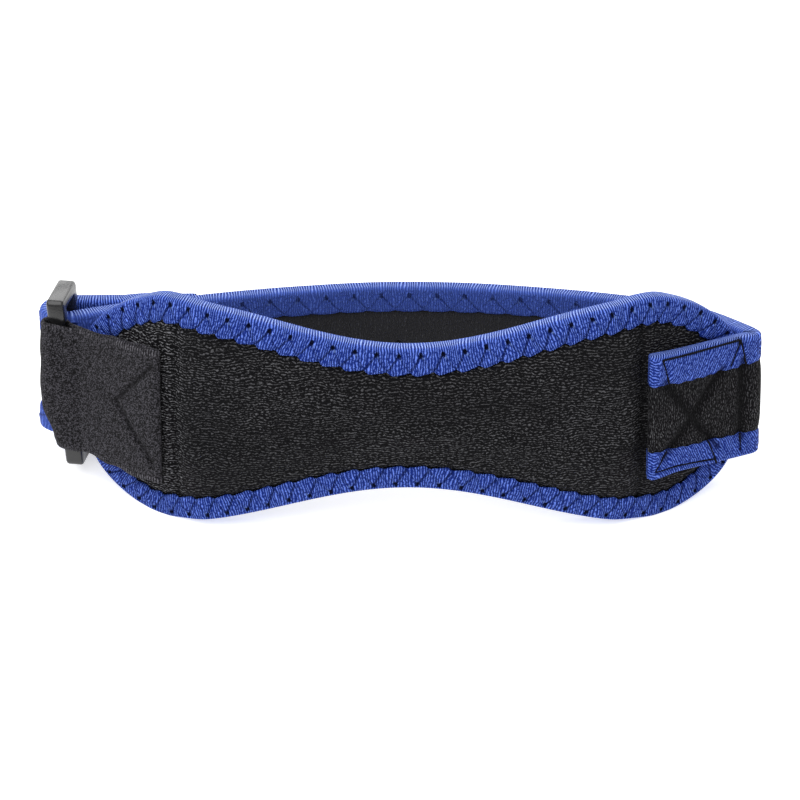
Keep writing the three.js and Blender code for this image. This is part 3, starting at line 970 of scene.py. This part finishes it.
# %% Seams of the strap's sewn end
KNOT = (27.0, 18.0)
EDGE_SEAMS = [
    ((3.0, 17.4), (26.4, 18.2)), ((3.0, 17.4), (4.9, 10.4)),
    (KNOT, (23.9, 11.2)), (KNOT, (29.0, 10.2)),
    ((5.1, -9.6), (1.5, -15.6)), ((1.5, -15.8), (19.7, -16.9)),
    ((17.1, -9.8), (20.2, -18.3)), ((27.6, -10.4), (27.6, -16.0)),
]
SOFT_SEAMS = [((4.0, 10.5), (20.5, -13.0)), ((21.5, 11.0), (4.0, -12.0)), ((28.0, 12.0), (28.0, -12.0))]
SEWN_LENGTH = 31.0


def line_distance(s, z, line):
    (s0, z0), (s1, z1) = line
    run = Vector((s1 - s0, z1 - z0))
    share = clamp(Vector((s - s0, z - z0)).dot(run) / run.length_squared)
    return math.hypot(s - s0 - run.x * share, z - z0 - run.y * share)


def seam_dent(s, z):
    if s > SEWN_LENGTH:
        return 0.0
    sharp = max(bump(line_distance(s, z, line), 0.5) for line in EDGE_SEAMS)
    soft = max(bump(line_distance(s, z, line), 1.5) for line in SOFT_SEAMS)
    knot = bump(math.hypot(s - KNOT[0], z - KNOT[1]), 1.6)
    return max(0.6 * sharp, 0.95 * soft, 0.9 * knot)


# %% [markdown]
# Where the strap turns round the ring it hangs plumb on the left, and its free end is pressed thin on
# the layer below. Its lower edge rides up a little on the sewn end and at the ring. These three
# corrections are made where a point of the strap is turned into a place.

# %% Points on the strap
STRAP_LOW_LIFT = [(0.0, 0.5), (9.0, 1.8), (30.0, 1.5), (60.0, 0.0),
                  (STRAP_RUN - 70.0, 0.0), (STRAP_RUN - 43.0, 2.1), (STRAP_RUN - 20.0, 0.0)]
FREE_TAPER = 15.0


def end_round(s):
    nearest = min(s, STRAP_RUN - s)
    return math.sqrt(clamp(1 - (1 - clamp(nearest / 1.4)) ** 2, 0.004))


def strap_point(index, offset, z):
    station = strap_path[index]
    s = strap_lengths[index]
    left = STRAP_RUN - s
    offset *= end_round(s)
    if left < FREE_TAPER:
        thin = lerp(0.3, 1.0, smooth(left, -2.0, FREE_TAPER))
        offset = (offset + BOUND_HALF) * thin - BOUND_HALF
        z *= 1 - 0.02 * (1 - smooth(left, 0.0, FREE_TAPER))
    z += table(STRAP_LOW_LIFT, s) * smooth(-z, 4.0, STRAP_WIDTH / 2)
    point = beside(station, offset)
    share = lean_share(point)
    x = point.x - STRAP_LEAN * share * z
    if s > STRAP_RUN / 2:
        x += bump(station[0].x - strap_left, 2.4) * (0.07 * z - 0.6)
    return world(x, point.y, z)


# %% [markdown]
# The cloth's own pattern runs on the outer surface, which is longer than the centre line round the
# fold and round the ring, so the pattern is measured there.

# %% Outer run of the strap
outer_line = [strap_point(i, -STRAP_HALF, 0.0) for i in range(len(strap_path))]
strap_outer = [1000 * run for run in lengths_of(outer_line)]
print(f"strap centre line {STRAP_RUN:.0f} mm, outer surface {strap_outer[-1]:.0f} mm")

# %% [markdown]
# The neoprene is one flat tube of knit, a little puffed between its bindings. Its edges are thinner,
# because they lie inside the bindings.

# %% Strap
def strap_piece():
    half = STRAP_WIDTH / 2 - BINDING_WALL - GAP
    edge = STRAP_WIDTH / 2 - STRAP_FACE + 1.0
    count = 36
    side = [(STRAP_HALF - 0.4, -half), (STRAP_HALF - 0.4, -edge - 0.8)]
    side += [(STRAP_HALF, lerp(-edge, edge, k / count)) for k in range(count + 1)]
    side += [(STRAP_HALF - 0.4, edge + 0.8), (STRAP_HALF - 0.4, half)]
    section = side + [(-offset, z) for offset, z in reversed(side)]
    section.append(section[0])

    def place(i, j):
        offset, z = section[j]
        s = strap_lengths[i]
        is_outer = offset < 0
        fullness = 0.3 + (0.8 * bump(s - SEWN_LENGTH - 1.5, 3.0) if is_outer else 0.0)
        puff = fullness * (1 - (z / edge) ** 4) if abs(z) < edge else 0.0
        # The seam's dent also paints shade into its creases.
        dent = seam_dent(s, z) if is_outer else 0.0
        moved = offset + math.copysign(puff, offset) + dent
        v = z + 200 * HOLE_PITCH if is_outer else z
        return strap_point(i, moved, z), strap_outer[i] - FRONT_LENGTH, v, dent

    return grid_piece("strap_neoprene", len(strap_path) - 1, len(section) - 1, place, close=True, caps=True)


# %% Strap bindings
STRAP_RIM_PROUD = 0.45
STRAP_FACE_GAIN = [(0.0, 2.0), (22.0, 1.6), (34.0, 1.2), (50.0, 0.4)]
STRAP_ZIG = 7.8
STRAP_ZIG_PHASE = 0.3
STRAP_HOLE_AT = 4.2


def strap_binding_rows():
    """(offset, share of the face's height, extra height, v) from one lip over the rim to the other."""
    outer = [(-BOUND_HALF + 0.5, 1.0, -0.1), (-BOUND_HALF + 0.1, 1.0, 0.0), (-BOUND_HALF - 0.12, 0.95, 0.0)]
    for k in range(13):
        share = lerp(0.88, 0.12, k / 12)
        outer.append((-BOUND_HALF - 0.22 - 0.06 * math.sin(math.pi * k / 12), share, 0.0))
    outer += [(-BOUND_HALF - 0.18, 0.0, 0.25), (-BOUND_HALF + 0.05, 0.0, -0.05),
              (-BOUND_HALF + 0.4, 0.0, -0.3), (-1.3, 0.0, -0.43), (0.0, 0.0, -STRAP_RIM_PROUD)]
    whole = outer + [(-offset, share, extra) for offset, share, extra in reversed(outer[:-1])]
    lengths = lengths_of([Vector((offset, share * STRAP_FACE + extra)) for offset, share, extra in whole])
    middle = lengths[len(outer) - 1]
    rows = [(*row, middle - lengths[k]) for k, row in enumerate(whole)]
    wall = STRAP_HALF - 0.2
    for offset, share in ((wall, 0.9), (wall, 0.12), (-wall, 0.12), (-wall, 0.9)):
        rows.append((offset, share, 0.0, 9.3))
    return rows + [rows[0]]


def strap_binding_piece(name, side):
    rows = strap_binding_rows()
    lip_at = rows[0][3] - 0.5

    def place(i, j):
        offset, share, extra, v = rows[j]
        s = strap_lengths[i]
        is_back = smooth(s, SEWN_LENGTH, SEWN_LENGTH + 4)
        face = STRAP_FACE + table(STRAP_FACE_GAIN, s)
        on_pad = 1 - is_back
        drop = share * face + extra + STRAP_RIM_PROUD * 0.8 * on_pad * (1 - smooth(share, 0.0, 0.5))
        turn = (strap_outer[i] / STRAP_ZIG + STRAP_ZIG_PHASE) % 1
        zag = 1 - abs(2 * turn - 1)
        drop -= is_back * 0.5 * smooth(share, 0.6, 1.0) * smooth(zag, 0.5, 1.0)
        drop += on_pad * 0.18 * smooth(share, 0.7, 1.0) * math.sin(s * 1.7 + side)
        z = side * (STRAP_WIDTH / 2 - drop)
        if abs(v) < 9.2 and abs(offset) > 0.5:
            puff = 0.2 * smooth(drop, 1.2, 3.0) * (0.4 - is_back * zag * smooth(abs(v), 3.8, 7.5))
            dent = 0.16 * is_back * seam_offset(turn, v, STRAP_HOLE_AT, lip_at)
            hole = bump(abs(v) - STRAP_HOLE_AT, 0.8) * bump(min(turn, 1 - turn) * STRAP_ZIG, 0.8)
            hole *= 0.3 * is_back
            offset += math.copysign(puff - hole - dent, offset)
        # The seam's dent, which also paints shade into its creases.
        press = seam_dent(s, z) if offset < 0 else 0.0
        return strap_point(i, offset + press, z), strap_outer[i], v, press ** 2

    return grid_piece(name, len(strap_path) - 1, len(rows) - 1, place, close=True, caps=True)


# %% [markdown]
# The tab is loop tape, sewn down thin at its end with a cross seam. It is slack round the bar: its fold
# hangs plumb at the top and slips inwards below. Its two edges rise and fall along its length.

# %% Tape
TAPE_SEAMS = [((2.0, 14.5), (14.0, 1.5)), ((14.0, 1.5), (2.5, -13.5))]
TAPE_TOP = [(0.0, 0.0), (26.0, 0.0), (35.0, 1.1), (42.0, 0.4), (50.0, -0.6), (70.0, 0.0)]
TAPE_LOW = [(0.0, -1.0), (8.0, -0.7), (17.0, 0.5), (24.0, 1.7), (36.0, 1.8), (46.0, 2.0), (70.0, 0.6)]
TAPE_SIDE = [(-19.0, 0.9), (-14.0, 0.4), (-5.0, -1.7), (0.0, -1.6), (10.0, -0.5), (19.0, 0.5)]


def tape_point(index, offset, z):
    station = tape_path[index]
    s = tape_lengths[index]
    half = TAPE_WIDTH / 2
    z += table(TAPE_TOP, s) * smooth(z, 0.0, half) + table(TAPE_LOW, s) * smooth(-z, 0.0, half)
    point = beside(station, offset)
    x = point.x - RING_LEAN * lean_share(point) * z
    x += bump(station[0].x - tape_left, 3.2) * table(TAPE_SIDE, z)
    return world(x, point.y, z)


def tape_piece():
    half = TAPE_WIDTH / 2
    count = 64
    heights = [lerp(-half, half, k / count) for k in range(count + 1)]
    section = [(-TAPE / 2, z) for z in heights] + [(TAPE / 2, z) for z in reversed(heights)]
    section.append(section[0])
    outer_run = tape_lengths[-1] / 2

    def place(i, j):
        offset, z = section[j]
        s = tape_lengths[i]
        is_outer = offset > 0 and s < outer_run
        edge = smooth(abs(z), half - 0.6, half)
        selvage = smooth(abs(z), half - 2.6, half - 2.0)
        offset *= (1 - 0.5 * edge) * (1 - 0.25 * selvage)
        crease = 0.0
        if is_outer:
            crease = max(bump(line_distance(s, z, line), 0.7) for line in TAPE_SEAMS)
            offset -= 0.75 * crease
            offset += 0.18 * math.sin(math.pi * clamp(s / 26.0)) * math.cos(z * 0.13)
            offset -= 1.1 * (1 - smooth(s, -0.6, 1.6))
        ripple = 0.2 * math.sin(s * 0.62 + math.copysign(0.7, z)) * smooth(abs(z), half - 5, half)
        # The cross seam's crease also paints shade into it.
        return tape_point(i, offset, z + ripple), s, z, 0.7 * crease

    return grid_piece("loop_tape_tab", len(tape_path) - 1, len(section) - 1, place, close=True, caps=True)


# %% Closure patch
PATCH_THICKNESS = 1.1
PATCH_HALF = 11.0
PATCH_STEPS = 17


def patch_piece():
    first = len(strap_front) + len(strap_back) - 1
    low = STRAP_HALF + GAP
    high = low + PATCH_THICKNESS
    heights = [lerp(-PATCH_HALF, PATCH_HALF, k / 12) for k in range(13)]
    section = [(-low, z) for z in heights] + [(-high, z) for z in reversed(heights)]
    section.append(section[0])

    def place(i, j):
        offset, z = section[j]
        return strap_point(first - i, offset, z), i * BACK_STEP, z, 0.0

    return grid_piece("closure_patch", PATCH_STEPS, len(section) - 1, place, close=True, caps=True)


# %% [markdown]
# The ring is moulded plastic: a slim rectangular frame whose two ends are thicker, blocky shoulders with
# a flat top. It starts as a cube. Both broad faces are inset and bridged to open it, the ends are cut
# off by planes and widened, and its edges are bevelled.

# %% Ring buckle
RING_CORNER = 1.5
RING_EDGE = 1.15
RING_SHOULDER = 1.2


def ring_piece():
    mesh = bpy.data.meshes.new("ring_moulded")
    bm = bmesh.new()
    bmesh.ops.create_cube(bm, size=1.0)
    outer_width = RING_PITCH + RING_BAR
    outer_height = RING_OPENING + 2 * RING_END_BAR
    bmesh.ops.scale(bm, verts=bm.verts, vec=(outer_width, RING_BAR, outer_height))
    broad = [face for face in bm.faces if abs(face.normal.y) > 0.9]
    bmesh.ops.inset_individual(bm, faces=broad, thickness=RING_BAR, use_even_offset=True)
    inner = {vert for face in broad for vert in face.verts}
    opened = RING_OPENING / (outer_height - 2 * RING_BAR)
    bmesh.ops.scale(bm, verts=list(inner), vec=(1.0, 1.0, opened))
    rims = {edge for face in broad for edge in face.edges}
    bmesh.ops.delete(bm, geom=broad, context="FACES_ONLY")
    bmesh.ops.bridge_loops(bm, edges=list(rims))
    for side in (1, -1):
        for cut in (RING_END_AT, RING_END_AT - RING_SHOULDER):
            geometry = list(bm.verts) + list(bm.edges) + list(bm.faces)
            height = (0, 0, side * cut)
            bmesh.ops.bisect_plane(bm, geom=geometry, dist=1e-4, plane_co=height, plane_no=(0, 0, 1))
    shoulders = [vert for vert in bm.verts if abs(vert.co.z) > RING_END_AT - 0.1]
    bmesh.ops.scale(bm, verts=shoulders, vec=(1.0, RING_END_THICKNESS / RING_BAR, 1.0))

    def bevelled(edges, offset, segments):
        bmesh.ops.bevel(bm, geom=edges, offset=offset, segments=segments, profile=0.5, affect="EDGES",
                        material=-1, clamp_overlap=True)

    def runs_along_y(edge):
        run = edge.verts[0].co - edge.verts[1].co
        return abs(run.y) > 0.9 * run.length

    def is_outer_corner(edge):
        middle = (edge.verts[0].co + edge.verts[1].co) / 2
        return abs(middle.x) > outer_width / 2 - 0.1 and abs(middle.z) > outer_height / 2 - 0.1

    bevelled([edge for edge in bm.edges if runs_along_y(edge) and is_outer_corner(edge)], RING_CORNER, 4)
    sharp = [edge for edge in bm.edges if len(edge.link_faces) == 2 and edge.calc_face_angle() > 0.6]
    bevelled(sharp, RING_EDGE, 4)
    centre = ring_front + ring_axis * (RING_PITCH / 2)
    thickness = left_of(math.radians(RING_HEADING))
    for vert in bm.verts:
        z = vert.co.z + RING_LIFT
        point = centre + ring_axis * vert.co.x + thickness * vert.co.y
        vert.co = world(point.x - RING_LEAN * z, point.y, z)
    return finished_piece("ring_moulded", mesh, bm)


# %% [markdown]
# The sewing thread that shows is a curve with a round bevel along each seam line, laid in its crease.

# %% Threads
THREAD_RADIUS = 0.0003


def strap_surface(s, z):
    k = min(range(len(strap_front)), key=lambda n: abs(strap_lengths[n] - s))
    on_binding = STRAP_WIDTH / 2 - abs(z) < STRAP_FACE + 1.5
    offset = -(BOUND_HALF + 0.3 if on_binding else STRAP_HALF + 0.28) + seam_dent(s, z)
    low = max(k - 1, 0)
    high = min(k + 1, len(strap_front) - 1)
    share = (s - strap_lengths[low]) / max(strap_lengths[high] - strap_lengths[low], 1e-6)
    return strap_point(low, offset, z).lerp(strap_point(high, offset, z), clamp(share))


def thread_piece(name, lines):
    curve = bpy.data.curves.new(name, "CURVE")
    curve.dimensions = "3D"
    curve.bevel_depth = THREAD_RADIUS
    curve.bevel_resolution = 1
    curve.use_fill_caps = True
    count = 40
    for (s0, z0), (s1, z1) in lines:
        spline = curve.splines.new("POLY")
        spline.points.add(count)
        for k, point in enumerate(spline.points):
            point.co = (*strap_surface(lerp(s0, s1, k / count), lerp(z0, z1, k / count)), 1.0)
    piece = bpy.data.objects.new(name, curve)
    bpy.context.scene.collection.objects.link(piece)
    print(f"{name}: {len(curve.splines)} lines of thread")
    return piece


# %% [markdown]
# Each piece gets its finish and the body that it rides on, and the solids that it stands for are hidden.
# There are no joints, so every piece rides on the root.

# %% Finishes
pad_ribbed = binding_material("pad_binding_ribbed", ZIG, hole_at=PAD_HOLE_AT, lip_at=8.6, phase=ZIG_PHASE,
                              seam_from=-5.0, strength=1.0, painted_highlight=0.8, inner_tone=0.3)
strap_ribbed = binding_material("strap_binding_ribbed", STRAP_ZIG, hole_at=STRAP_HOLE_AT, lip_at=8.2,
                                phase=STRAP_ZIG_PHASE, seam_from=strap_outer[FRONT_STEPS] + 3.0,
                                strength=0.6, painted_highlight=0.55, inner_tone=0.22)
pad_knit = knit_material("pad_knit", 0.74, 0.18, painted_light_before=-SEAM_AT)
strap_knit = knit_material("strap_knit", 0.6, 0.19, has_holes=True, is_turned=True)
loop_tape = tape_material("loop_tape")
black_thread = thread_material("black_thread", colour(0.004, 0.004, 0.007))
moulded = plastic_material("moulded_plastic")


def dressed(piece, finish, slot, *nodes):
    piece.data.materials.append(finish)
    if nodes:
        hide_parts(*nodes)
    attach(piece, "root")
    return piece


# %% Pieces
cushion = dressed(cushion_piece(), pad_knit, "black_knit", "front_pad")
swell(cushion, cushion_pins(cushion))
dressed(pad_binding_piece(), pad_ribbed, "blue_binding", "pad_binding")
dressed(strap_piece(), strap_knit, "black_neoprene", "back_strap")
for edge, side in (("top", 1), ("bottom", -1)):
    edge_binding = strap_binding_piece(f"strap_edge_binding_{edge}", side)
    dressed(edge_binding, strap_ribbed, "blue_binding", f"strap_binding_{edge}")
dressed(tape_piece(), loop_tape, "black_tape", "ring_tab")
dressed(patch_piece(), loop_tape, "black_tape", "hook_patch")
dressed(ring_piece(), moulded, "grey_plastic", "buckle_ring")
dressed(thread_piece("strap_end_thread", EDGE_SEAMS), black_thread, "black_tape")

# %% [markdown]
# The stage is a pale floor under soft light that comes mostly from above. A low, wide light behind gives
# the upward faces their gloss: the rims' open ribs and the ring's flat top.

# %% Floor
floor_mesh = bpy.data.meshes.new("floor")
floor_bm = bmesh.new()
bmesh.ops.create_grid(floor_bm, x_segments=1, y_segments=1, size=3.0)
floor_bm.to_mesh(floor_mesh)
floor_bm.free()
floor = bpy.data.objects.new("floor", floor_mesh)
bpy.context.scene.collection.objects.link(floor)
paper = Nodes("pale_floor")
paper.shader.inputs["Base Color"].default_value = colour(0.82, 0.82, 0.82)
paper.shader.inputs["Roughness"].default_value = 0.9
paper.shader.inputs["Emission Color"].default_value = colour(1.0, 1.0, 1.0)
paper.shader.inputs["Emission Strength"].default_value = 0.55
floor_mesh.materials.append(paper.material)

# %% Lights
def area_light(name, place, width, height, power):
    data = bpy.data.lights.new(name, "AREA")
    data.shape = "RECTANGLE"
    data.size = width
    data.size_y = height
    data.energy = power
    light = bpy.data.objects.new(name, data)
    light.location = Vector(place)
    aim = Vector((0.0, 0.0, 0.03)) - light.location
    light.rotation_euler = aim.to_track_quat("-Z", "Y").to_euler()
    bpy.context.scene.collection.objects.link(light)
    return light


area_light("key", (-0.45, -0.1, 1.4), 2.0, 2.0, 30.0)
area_light("back", (0.1, 1.3, 0.5), 1.6, 0.7, 10.0)

world_data = bpy.data.worlds.new("studio")
world_data.use_nodes = True
background = next(node for node in world_data.node_tree.nodes if node.type == "BACKGROUND")
background.inputs["Color"].default_value = colour(1.0, 1.0, 1.0)
background.inputs["Strength"].default_value = 0.55
bpy.context.scene.world = world_data

# %% [markdown]
# The camera stands at the photograph's angle to the loop, far off with a long lens, and a small shift
# frames the object as the photograph does.

# %% Camera
CAMERA_DISTANCE = 1.5
CAMERA_RISE = math.radians(25.0)
CAMERA_AIM = (-2.2, 24.4, 0.0)
IMAGE_SIDE = 800
FRAME_SHIFT = -14
camera_data = bpy.data.cameras.new("camera")
camera_data.sensor_width = 36.0
camera_data.lens = 250.0
camera_data.shift_y = FRAME_SHIFT / IMAGE_SIDE
camera_data.clip_end = 20.0
camera = bpy.data.objects.new("camera", camera_data)
rise = CAMERA_RISE + REST_TILT
view = Vector((0.0, math.cos(rise), -math.sin(rise)))
camera.location = world(*CAMERA_AIM) - view * CAMERA_DISTANCE
camera.rotation_euler = view.to_track_quat("-Z", "Y").to_euler()
bpy.context.scene.collection.objects.link(camera)
bpy.context.scene.camera = camera
bpy.context.scene.view_settings.view_transform = "Standard"
print("camera at", [round(value, 3) for value in camera.location])
